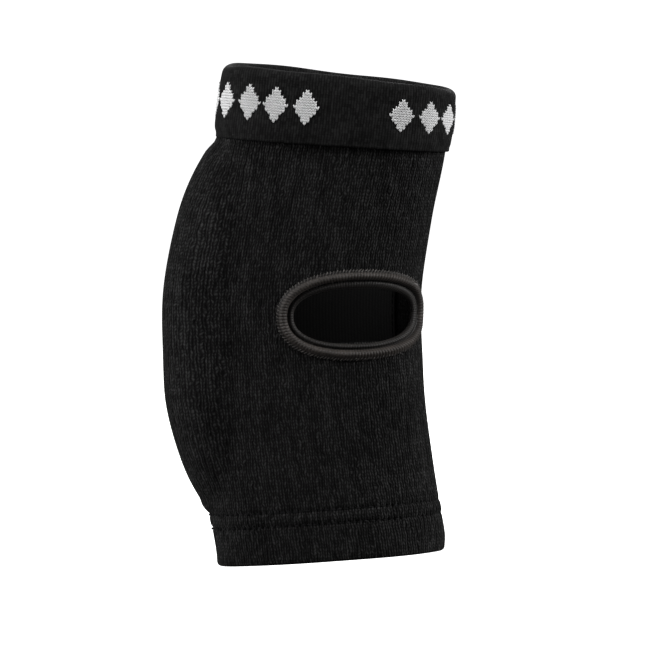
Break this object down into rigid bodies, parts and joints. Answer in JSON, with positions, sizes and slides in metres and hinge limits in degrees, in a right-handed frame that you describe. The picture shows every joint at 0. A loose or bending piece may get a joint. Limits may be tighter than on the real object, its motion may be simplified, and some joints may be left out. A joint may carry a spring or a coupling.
{
  "type": "elbow pad",
  "caption": "Pull-on knitted elbow pad: padded sleeve with a folded elastic cuff, a bound opening over the elbow crease and a turned hem.",
  "frame": {"origin": "centre of the forearm opening, on the hem's lower edge", "axes": "+Z from the forearm hem towards the upper-arm cuff, +X towards the elbow crease, -Y towards the side with the crease opening"},
  "size_m": [0.1361, 0.0743, 0.2204],
  "materials": {
    "sleeve_knit": "matte ribbed knit",
    "cuff_knit": "matte close knit",
    "motif_yarn": "matte yarn",
    "binding_tape": "satin tape",
    "binding_thread": "satin thread",
    "black_thread": "satin thread",
    "elastic_tape": "matte",
    "pad_foam": "matte open-cell foam",
    "pocket_lining": "matte tricot"
  },
  "bodies": {
    "forearm_half": {"sleeve_lower_knit": "sleeve_knit", "sleeve_elbow_knit": "sleeve_knit", "hem_lower_row_thread": "black_thread", "hem_upper_row_thread": "black_thread", "hem_looper_thread": "black_thread", "crease_binding": "binding_tape", "binding_overlock_thread": "binding_thread", "foam_pad": "pad_foam", "pad_pocket_lining": "pocket_lining", "pad_pocket_thread": "black_thread"},
    "upper_arm_half": {"sleeve_upper_knit": "sleeve_knit", "cuff_band": "cuff_knit", "cuff_elastic": "elastic_tape", "cuff_motif_yarn": "motif_yarn", "cuff_join_thread": "black_thread"}
  },
  "joints": [
    {"name": "elbow_flex", "type": "hinge", "parent": "forearm_half", "child": "upper_arm_half", "pos_m": [0, 0, 0.108], "axis": [0, 1, 0], "range_deg": [-12, 75], "stiffness_Nm_per_rad": 0.3, "deforming": ["sleeve_elbow_knit", "crease_binding", "binding_overlock_thread", "foam_pad", "pad_pocket_lining", "pad_pocket_thread"]}
  ]
}
